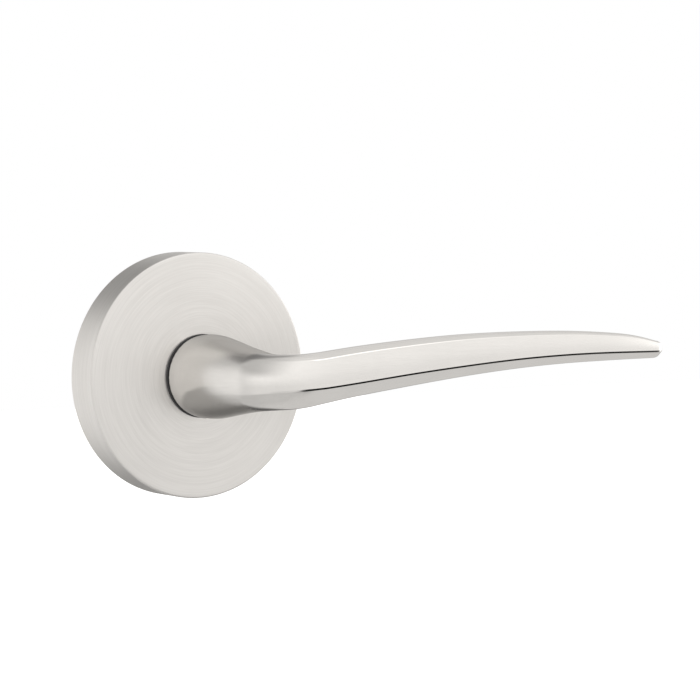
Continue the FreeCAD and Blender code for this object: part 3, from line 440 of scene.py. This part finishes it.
class LeverShape:
    """Centreline and sections of the lever, by distance along the centreline from the foot."""

    def __init__(self, foot, length):
        self.foot = foot
        self.neck_end = BLADE_OUT - ELBOW_RADIUS - foot
        self.blade_start = self.neck_end + ELBOW_RADIUS * math.pi / 2
        self.tip = self.blade_start + length - ELBOW_RADIUS
        self.radius = spline(*zip(*ROUND_STATIONS))
        columns = list(zip(*BLADE_STATIONS))
        places = [self.blade_start - ELBOW_RADIUS + place for place in columns[0]]
        self.last_station = places[-1]
        self.sizes = [spline(places, numbers) for numbers in columns[1:]]
        sample = blade_outline(*BLADE_STATIONS[SAMPLE_STATION][1:])
        lengths = np.linalg.norm(np.roll(sample, -1, axis=0) - sample, axis=1)
        shares = np.concatenate(((0.0,), np.cumsum(lengths)[:-1])) / lengths.sum()
        self.angles = CREASE_START + 2 * math.pi * shares

    def centreline(self, place):
        """Point (x, out) and direction of the centreline."""
        if place < self.neck_end:
            return np.array((0.0, self.foot + place)), np.array((0.0, 1.0))
        if place < self.blade_start:
            angle = (place - self.neck_end) / ELBOW_RADIUS
            across, out = math.cos(angle), math.sin(angle)
            centre = (ELBOW_RADIUS * (1 - across), self.foot + self.neck_end + ELBOW_RADIUS * out)
            return np.array(centre), np.array((out, across))
        length = self.tip - self.blade_start
        share = (place - self.blade_start) / length
        out = BLADE_OUT - BLADE_RETURN * share ** RETURN_POWER
        slope = -BLADE_RETURN * RETURN_POWER * share ** (RETURN_POWER - 1) / length
        along = np.array((1.0, slope))
        return np.array((ELBOW_RADIUS + share * length, out)), along / np.linalg.norm(along)

    def outline(self, place):
        """Outline of the section, without the rounding of the nose."""
        blend = (place - self.neck_end) / (self.blade_start - self.neck_end)
        blend = min(max(blend, 0.0), 1.0)
        blend = blend * blend * (3 - 2 * blend)
        if blend == 1:
            return blade_outline(*[size(place) for size in self.sizes])
        radius = self.radius(place)
        lift = ELBOW_LIFT * blend
        neck = np.stack((radius * np.cos(self.angles), lift + radius * np.sin(self.angles)), 1)
        if blend == 0:
            return neck
        return neck * (1 - blend) + blade_outline(*[size(place) for size in self.sizes]) * blend

    def ring(self, place, shrink=1.0, middle=NOSE_HEIGHT):
        """Points of the section at a place, shrunk towards a height on the centreline."""
        centre, along = self.centreline(place)
        outline = self.outline(min(place, self.last_station))
        side = outline[:, 0] * shrink
        height = middle + (outline[:, 1] - middle) * shrink
        return [(centre[0] - along[1] * s, -(centre[1] + along[0] * s), z) for s, z in zip(side, height)]

    def bore_ring(self, radius, out):
        """Circle about the spindle's axis with a section's angles."""
        return [(-radius * math.cos(angle), -out, radius * math.sin(angle)) for angle in self.angles]


def make_lever_piece():
    """The lever as a fine mesh: neck, elbow and blade, bored for the hub and the grub screw."""
    low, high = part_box("lever_handle")
    foot = -high.y / MM
    lever = LeverShape(foot, high.x / MM)
    foot_radius = ROUND_STATIONS[0][1]
    rings = [lever.bore_ring(BORE_MIDDLE, BORE_END), lever.bore_ring(HUB_BORE, BORE_END),
             lever.bore_ring(HUB_BORE, foot), lever.ring(0.0, 1 - FOOT_CHAMFER / foot_radius, 0.0)]
    nose_start = lever.tip - NOSE_LENGTH
    length = nose_start - FOOT_CHAMFER
    count = round(length / SECTION_SPACING)
    for i in range(count + 1):
        rings.append(lever.ring(FOOT_CHAMFER + length * i / count))
    for i in range(1, NOSE_STEPS + 1):
        turn = math.radians(NOSE_TURN) * i / NOSE_STEPS
        rings.append(lever.ring(nose_start + NOSE_LENGTH * math.sin(turn), math.cos(turn)))
    points, faces = skin(rings)
    size = len(rings[0])
    faces.append(tuple(range(size)))
    faces.append(tuple(range(len(points) - size, len(points))))
    piece = add_piece("lever_handle_skin", points, faces)
    cut(piece, make_drill("grub_drill", GRUB_RADIUS, GRUB_OUT, -GRUB_START, -GRUB_END))
    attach(piece, "lever")
    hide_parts("lever_handle")
    return piece


def make_drill(name, radius, out, low, high):
    """Upright cylinder to cut with, in front of the door face by the distance out."""
    turns = [2 * math.pi * i / DRILL_STEPS for i in range(DRILL_STEPS)]
    rings = [[(radius * math.cos(turn), radius * math.sin(turn) - out, z) for turn in turns]
             for z in (low, high)]
    points, faces = skin(rings)
    faces += [tuple(range(DRILL_STEPS)), tuple(range(DRILL_STEPS, 2 * DRILL_STEPS))]
    return add_piece(name, points, faces)


# ------------------------------------------------------------------ rose cover

# Millimetres: hole for the neck bush, thickness of the skirt and of the face.
COVER_HOLE, COVER_WALL, COVER_FRONT = 10.7, 1.6, 1.5
# Rounding of the front edge, chamfer at the foot, and the wall's last ring below the rounding.
COVER_ROUND, COVER_CHAMFER, WALL_RING = 0.45, 0.1, 0.1
# Rise of the face from its edge to the neck.
CROWN_HEIGHT, CROWN_STEPS = 1.7, 24
# Groove for the snap ring: middle above the door face, half of its width, depth.
SNAP_OUT, SNAP_GROOVE_HALF, SNAP_GROOVE_DEPTH = 4.8, 0.6, 0.4
PRY_WIDTH, PRY_HEIGHT = 7.0, 1.4
LATHE_STEPS, EDGE_STEPS = 360, 8


def make_cover_piece():
    """The rose's cover as a fine turned mesh, with its rounded edge, snap groove and pry notch."""
    low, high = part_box("rose_cover")
    depth = -low.y / MM - CROWN_HEIGHT
    inside = depth - COVER_FRONT
    radius = high.x / MM
    bore = radius - COVER_WALL
    groove = bore + SNAP_GROOVE_DEPTH
    # The face is part of a sphere through the rose's edge and the edge of the hole.
    drop = (radius ** 2 - COVER_HOLE ** 2 - CROWN_HEIGHT ** 2) / (2 * CROWN_HEIGHT)
    centre, crown = depth - drop, math.hypot(radius, drop)
    round_out = centre + math.sqrt((crown - COVER_ROUND) ** 2 - (radius - COVER_ROUND) ** 2)
    tilt = math.atan2(round_out - centre, radius - COVER_ROUND)
    face_start = crown * math.cos(tilt)
    profile = [(bore, 0), (radius - COVER_CHAMFER, 0), (radius, COVER_CHAMFER),
               (radius, round_out - WALL_RING)]
    profile += arc(radius - COVER_ROUND, round_out, COVER_ROUND, 0, math.degrees(tilt))
    for i in range(1, CROWN_STEPS + 1):
        place = face_start + (COVER_HOLE - face_start) * i / CROWN_STEPS
        profile.append((place, centre + math.sqrt(crown ** 2 - place ** 2)))
    profile += [(COVER_HOLE, inside), (bore, inside),
                (bore, SNAP_OUT + SNAP_GROOVE_HALF), (groove, SNAP_OUT + SNAP_GROOVE_HALF),
                (groove, SNAP_OUT - SNAP_GROOVE_HALF), (bore, SNAP_OUT - SNAP_GROOVE_HALF)]
    turns = [2 * math.pi * i / LATHE_STEPS for i in range(LATHE_STEPS)]
    rings = [[(r * math.cos(turn), -out, r * math.sin(turn)) for turn in turns] for r, out in profile]
    piece = add_piece("rose_cover_skin", *skin(rings, closed=True))
    cut(piece, make_pry_cutter(-radius - CUT_MARGIN, PRY_HEIGHT / 2 - bore))
    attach(piece, "rose")
    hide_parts("rose_cover")
    return piece


def make_pry_cutter(low, high):
    """Block that cuts the pry notch through the skirt's foot, between two heights."""
    half = PRY_WIDTH / 2
    corners = [(x, -out, z) for z in (low, high)
               for x, out in ((-half, -CUT_MARGIN), (half, -CUT_MARGIN), (half, PRY_HEIGHT),
                              (-half, PRY_HEIGHT))]
    sides = [(i, (i + 1) % 4, (i + 1) % 4 + 4, i + 4) for i in range(4)]
    return add_piece("pry_cutter", corners, sides + [(0, 1, 2, 3), (4, 5, 6, 7)])


def arc(radius, out, size, start, end):
    """Points of an arc in the profile, between two angles in degrees from outwards to the front."""
    turns = [math.radians(start + (end - start) * i / EDGE_STEPS) for i in range(EDGE_STEPS + 1)]
    return [(radius + size * math.cos(turn), out + size * math.sin(turn)) for turn in turns]


# ------------------------------------------------------------------ return spring

# Millimetres: radius of the coil, of the wire and of the bend to a leg; end of a leg.
SPRING_MEAN, SPRING_WIRE, SPRING_BEND, SPRING_LEG_END = 11.8, 0.85, 1.5, 16.4
SPRING_STEPS, SPRING_LEG_STEPS = 721, 12


def make_spring_piece():
    """The return spring as a piece of its own, in place of the CAD node.

    Its wire is the CAD wire. Each vertex's share of the lever's travel is worked out, from the rear
    leg at 0 to the front leg at 1, but the copy is not made to turn by it.
    """
    source = NODES["return_spring"]
    spring = source.copy()
    spring.data = source.data.copy()
    spring.name = "return_spring_wire"
    spring.parent = None
    # The copy is a piece of its own, not a CAD node.
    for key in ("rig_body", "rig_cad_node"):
        del spring[key]
    bpy.context.scene.collection.objects.link(spring)
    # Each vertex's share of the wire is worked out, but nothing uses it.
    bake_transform(spring)
    share_of_wire(spring.data)
    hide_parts("return_spring")
    return spring


def share_of_wire(mesh):
    """Each vertex's share of the twist, taken from the nearest point of the wire's centreline.

    The coil goes clockwise from the rear leg, a little over one turn, to the front leg. Its share
    rises evenly from 0 to 1; the rear leg keeps 0 and the front leg keeps 1.
    """
    points = np.array([vertex.co for vertex in mesh.vertices]) / MM
    out = -points[:, 1]
    rear_out, front_out = out.min() + SPRING_WIRE, out.max() - SPRING_WIRE
    on_leg = np.hypot(points[:, 0], points[:, 2]) > SPRING_MEAN + 2 * SPRING_WIRE
    in_front = out > (rear_out + front_out) / 2
    rear_angle = leg_angle(points[on_leg & ~in_front])
    front_angle = leg_angle(points[on_leg & in_front])
    bend_angle = math.asin(SPRING_BEND / (SPRING_MEAN + SPRING_BEND))
    start, end = rear_angle - bend_angle, front_angle + bend_angle
    sweep = (start - end) % (2 * math.pi) + 2 * math.pi
    share = np.linspace(0, 1, SPRING_STEPS)
    leg = np.linspace(SPRING_MEAN + SPRING_BEND, SPRING_LEG_END, SPRING_LEG_STEPS)
    centreline = np.vstack([around_axis(SPRING_MEAN, start - sweep * share,
                                        rear_out + (front_out - rear_out) * share),
                            around_axis(leg, rear_angle, rear_out),
                            around_axis(leg, front_angle, front_out)])
    shares = np.concatenate([share, np.zeros(SPRING_LEG_STEPS), np.ones(SPRING_LEG_STEPS)])
    nearest = [np.argmin(((centreline - point) ** 2).sum(axis=1)) for point in points]
    return shares[nearest]


def leg_angle(points):
    """Angle about the axis of a leg's middle."""
    middle = points.mean(axis=0)
    return math.atan2(middle[2], middle[0])


def around_axis(radius, angle, out):
    """Rows of points at a radius, an angle and a distance out, each a number or a list."""
    radius, angle, out = np.broadcast_arrays(radius, angle, out)
    return np.column_stack([radius * np.cos(angle), -out, radius * np.sin(angle)])


# ------------------------------------------------------------------ materials by slot

def make_materials():
    """One material for each slot of the record."""
    stainless_light = (0.80, 0.785, 0.765)
    return {
        # The rose is painted darker in the lever's reflections, towards the tip and below the axis:
        # painted shade.
        "rose": turned_steel("turned_satin_stainless", (0.73, 0.715, 0.695), (0.675, 0.66, 0.64), 0.38,
                             metallic=0.85, painted_reflection_shade=(1.0, 0.52, 0.62)),
        "lever": grained_steel("satin_stainless_grain", stainless_light, (0.76, 0.745, 0.725), 0.14,
                               4 * MM, 14 * MM),
        "black_nylon": mottled("black_nylon", (0.022, 0.022, 0.024), (0.012, 0.012, 0.013), 0.45, 0.0,
                               2500.0, 0.000004),
        "natural_nylon": mottled("natural_nylon", (0.84, 0.82, 0.76), (0.76, 0.74, 0.67), 0.4, 0.0,
                                 2500.0, 0.000004),
        "zinc_casting": mottled("die_cast_zinc", (0.52, 0.53, 0.55), (0.38, 0.39, 0.41), 0.48, 1.0,
                                1400.0, 0.00002),
        "zinc_plate": mottled("zinc_plated_steel", (0.72, 0.74, 0.77), (0.60, 0.62, 0.66), 0.28, 1.0,
                              900.0, 0.000004),
        "machined_steel": turned_steel("machined_steel", (0.66, 0.66, 0.66), (0.52, 0.52, 0.53), 0.28,
                                       0.00014, 0.0000012, 0.5),
        "spring_steel": mottled("spring_steel", (0.40, 0.42, 0.45), (0.25, 0.26, 0.29), 0.33, 1.0,
                                1600.0, 0.000003),
        "black_oxide": mottled("black_oxide", (0.06, 0.058, 0.06), (0.03, 0.029, 0.031), 0.42, 0.85,
                               2200.0, 0.000004),
        "bronze": mottled("sintered_bronze", (0.66, 0.44, 0.22), (0.46, 0.29, 0.14), 0.42, 1.0,
                          3000.0, 0.000012),
    }


def dress(materials):
    """Gives every CAD node that stays in view the material of its slot."""
    for part in frame["record"]["subparts"]:
        slot = part["material_slot"]
        if slot in materials:
            paint(NODES[part["node"]], materials[slot])


def paint(piece, material):
    """Puts one material on every face of a piece."""
    piece.data.materials.clear()
    piece.data.materials.append(material)


# ------------------------------------------------------------------ studio

# The studio as a dome round the object. Azimuth 0 is in front of the rose and positive is towards
# the lever's tip; elevation is up from the horizon. Degrees, and brightness where white is 1.
# The horizon and the sky go from their back to their front between two cosines, start and end.
HORIZON = {"azimuth": -5, "back": 0.74, "front": 1.08, "start": -0.95, "end": 0.3}
# Towards the floor, between two elevations, the horizon's front falls to a share of its brightness.
LOW_SHARE, LOW_START, LOW_END = 0.82, 12, -22
# The sky takes over from the horizon between two elevations.
SKY = {"azimuth": 20, "elevation": 25, "back": 0.6, "front": 1.16, "from": 10, "full": 40,
       "start": -0.25, "end": 0.95}
# The ground's edge is a tilted plane: the part of the dome that lies this far from its pole.
GROUND = {"azimuth": -57, "elevation": 64, "edge": -0.484, "softness": 0.035, "brightness": 0.62}
# Patches: name, azimuth, elevation, angle that is full, angle where it has faded out, brightness.
PATCHES = (
    ("right_front", 82, 2, 14, 35, 1.75),
    ("left_back", -150, -2, 8, 40, 1.0),
    ("back_high", 178, 34, 12, 26, 0.22),
    ("right_back_high", 110, 60, 16, 32, 0.84),
    ("right_back_low", 119, -58, 14, 36, 0.72),
    ("left_low", -50, -72, 12, 34, 0.66),
    ("back_low", 157, -30, 10, 28, 0.12),
    ("black_flag", 52, -50, 17, 27, 0.01),
    ("root_flag", 26, -54, 13, 22, 0.02),
)


WHITE, WARM_WHITE = (1.0, 1.0, 1.0, 1.0), (1.0, 0.985, 0.965, 1.0)
# Metres.
FLOOR_SIZE, FLOOR_DROP = 8.0, 0.3


def make_world():
    """A white backdrop for the camera, and a dome of soft light and flags for the metal to mirror."""
    world = bpy.data.worlds.new("studio")
    world.use_nodes = True
    bpy.context.scene.world = world
    tree = world.node_tree
    tree.nodes.clear()
    direction = tree.nodes.new("ShaderNodeTexCoord").outputs["Generated"]
    brightness = above_ground(tree, direction)
    pole = aimed(tree, direction, GROUND["azimuth"], GROUND["elevation"])
    edge, softness = GROUND["edge"], GROUND["softness"]
    below = fade(tree, pole, edge + softness, edge - softness, 0.0, 1.0)
    brightness = mix_towards(tree, brightness, GROUND["brightness"], below)
    for name, azimuth, elevation, full, faded, level in PATCHES:
        near = aimed(tree, direction, azimuth, elevation)
        share = fade(tree, near, math.cos(math.radians(faded)), math.cos(math.radians(full)), 0.0, 1.0)
        share.node.label = name
        brightness = mix_towards(tree, brightness, level, share)
    studio = tree.nodes.new("ShaderNodeBackground")
    studio.inputs["Color"].default_value = WARM_WHITE
    tree.links.new(brightness, studio.inputs["Strength"])
    backdrop = tree.nodes.new("ShaderNodeBackground")
    backdrop.inputs["Color"].default_value = WHITE
    mix = tree.nodes.new("ShaderNodeMixShader")
    tree.links.new(tree.nodes.new("ShaderNodeLightPath").outputs["Is Camera Ray"], mix.inputs[0])
    tree.links.new(studio.outputs[0], mix.inputs[1])
    tree.links.new(backdrop.outputs[0], mix.inputs[2])
    tree.links.new(mix.outputs[0], tree.nodes.new("ShaderNodeOutputWorld").inputs["Surface"])


def above_ground(tree, direction):
    """Brightness of the horizon and, higher up, of the sky."""
    height = aimed(tree, direction, 0, 90)
    low_start, low_end = math.sin(math.radians(LOW_START)), math.sin(math.radians(LOW_END))
    lit = fade(tree, height, low_end, low_start, LOW_SHARE * HORIZON["front"], HORIZON["front"])
    front = fade(tree, aimed(tree, direction, HORIZON["azimuth"], 0), HORIZON["start"], HORIZON["end"],
                 0.0, 1.0)
    horizon = mix_towards(tree, HORIZON["back"], lit, front)
    sky = fade(tree, aimed(tree, direction, SKY["azimuth"], SKY["elevation"]), SKY["start"], SKY["end"],
               SKY["back"], SKY["front"])
    start, full = math.sin(math.radians(SKY["from"])), math.sin(math.radians(SKY["full"]))
    return mix_towards(tree, horizon, sky, fade(tree, height, start, full, 0.0, 1.0))


def aimed(tree, direction, azimuth, elevation):
    """Cosine of the angle between a direction and one that is given in degrees."""
    dot = tree.nodes.new("ShaderNodeVectorMath")
    dot.operation = "DOT_PRODUCT"
    tree.links.new(direction, dot.inputs[0])
    dot.inputs[1].default_value = heading(azimuth, elevation)
    return dot.outputs["Value"]


def fade(tree, given, low, high, start, end):
    """Maps low..high softly to start..end."""
    made = tree.nodes.new("ShaderNodeMapRange")
    made.interpolation_type = "SMOOTHSTEP"
    tree.links.new(given, made.inputs["Value"])
    for key, number in (("From Min", low), ("From Max", high), ("To Min", start), ("To Max", end)):
        made.inputs[key].default_value = number
    return made.outputs[0]


def mix_towards(tree, given, level, share):
    """Given, mixed by a share towards a level. Each is a number or a socket."""
    mix = tree.nodes.new("ShaderNodeMix")
    for place, number in ((0, share), (2, given), (3, level)):
        if isinstance(number, bpy.types.NodeSocket):
            tree.links.new(number, mix.inputs[place])
        else:
            mix.inputs[place].default_value = number
    return mix.outputs[0]


def heading(azimuth, elevation):
    """Unit vector towards an azimuth and an elevation in degrees."""
    a, e = math.radians(azimuth), math.radians(elevation)
    return Vector((math.sin(a) * math.cos(e), -math.cos(a) * math.cos(e), math.sin(e)))


def make_floor():
    """A wide pale floor well below the object."""
    bpy.ops.mesh.primitive_plane_add(size=FLOOR_SIZE, location=(0, 0, CAD_BOX[0].z - FLOOR_DROP))
    floor = bpy.context.object
    floor.name = "floor"
    shader = Shader("pale_floor")
    x, y, z = shader.point()
    tone = shader.tint(shader.noise(shader.vector(x, y, z), 3.0), (0.86, 0.86, 0.86), (0.9, 0.9, 0.9))
    paint(floor, shader.finish(Base_Color=tone, Roughness=0.7, Emission_Color=tone,
                               Emission_Strength=0.75))
    floor.visible_glossy = False


def make_light(name, azimuth, elevation, distance, size, power):
    """A square soft light aimed at the rose. Degrees, metres and watts."""
    data = bpy.data.lights.new(name, "AREA")
    data.size = size
    data.energy = power
    light = bpy.data.objects.new(name, data)
    bpy.context.scene.collection.objects.link(light)
    light.location = heading(azimuth, elevation) * distance
    light.rotation_euler = heading(azimuth, elevation).to_track_quat("Z", "Y").to_euler()
    light.visible_camera = False


def make_camera():
    """A long lens from the front left, a little above the object."""
    azimuth, elevation = -33.84, 2.95
    distance = 800 * MM
    aim = Vector((39.7 * MM, -25 * MM, 6.4 * MM))
    data = bpy.data.cameras.new("camera")
    data.lens = 149.9
    data.sensor_width = 36.0
    data.clip_start, data.clip_end = 0.01, 20.0
    camera = bpy.data.objects.new("camera", data)
    bpy.context.scene.collection.objects.link(camera)
    back = heading(azimuth, elevation)
    camera.location = aim + back * distance
    camera.rotation_euler = (-back).to_track_quat("-Z", "Y").to_euler()
    bpy.context.scene.camera = camera


def set_view():
    """Plain colours: no film curve."""
    scene = bpy.context.scene
    scene.view_settings.view_transform = "Standard"
    scene.view_settings.look = "None"


# ------------------------------------------------------------------ build


materials = make_materials()
dress(materials)
paint(make_spring_piece(), materials["spring_steel"])
paint(make_cover_piece(), materials["rose"])
paint(make_lever_piece(), materials["lever"])
make_world()
make_floor()
make_light("key", azimuth=28, elevation=38, distance=0.9, size=0.55, power=0.4)
make_camera()
set_view()
